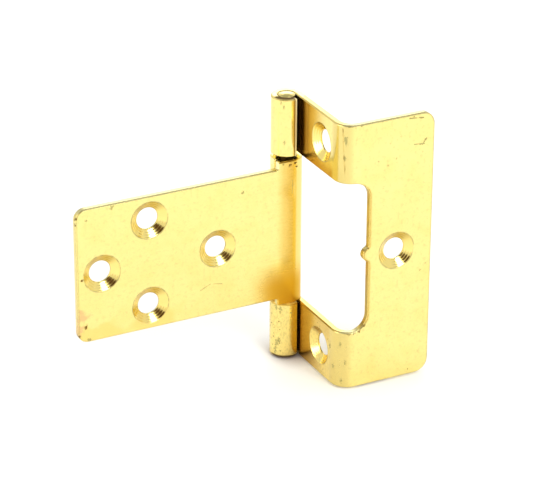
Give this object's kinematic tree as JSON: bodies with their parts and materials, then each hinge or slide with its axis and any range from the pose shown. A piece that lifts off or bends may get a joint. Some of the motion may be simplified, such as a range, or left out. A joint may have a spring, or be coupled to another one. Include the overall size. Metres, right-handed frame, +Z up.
{
  "type": "cranked hinge",
  "caption": "Cranked flush hinge of brassed sheet steel: a frame leaf bent at a right angle round a panel's edge, and a flag-shaped door leaf that folds into its cut-out.",
  "frame": {"origin": "midway between the screw holes of the frame leaf's arms, on the arms' seat against the panel's edge", "axes": "+Z up along the pin, +X from the arms' seat into the panel's edge, +Y from the plate's seat into the panel's inner face"},
  "size_m": [0.0606, 0.0205, 0.0506],
  "materials": {
    "brassed_sheet": "satin",
    "brassed_pin": "satin"
  },
  "bodies": {
    "frame": {"frame_leaf": "brassed_sheet", "hinge_pin": "brassed_pin"},
    "leaf": {"door_leaf": "brassed_sheet"}
  },
  "joints": [
    {"name": "leaf_swing", "type": "hinge", "parent": "frame", "child": "leaf", "pos_m": [-0.00276, 0.01, 0], "axis": [0, 0, 1], "range_deg": [-180, 90]}
  ]
}
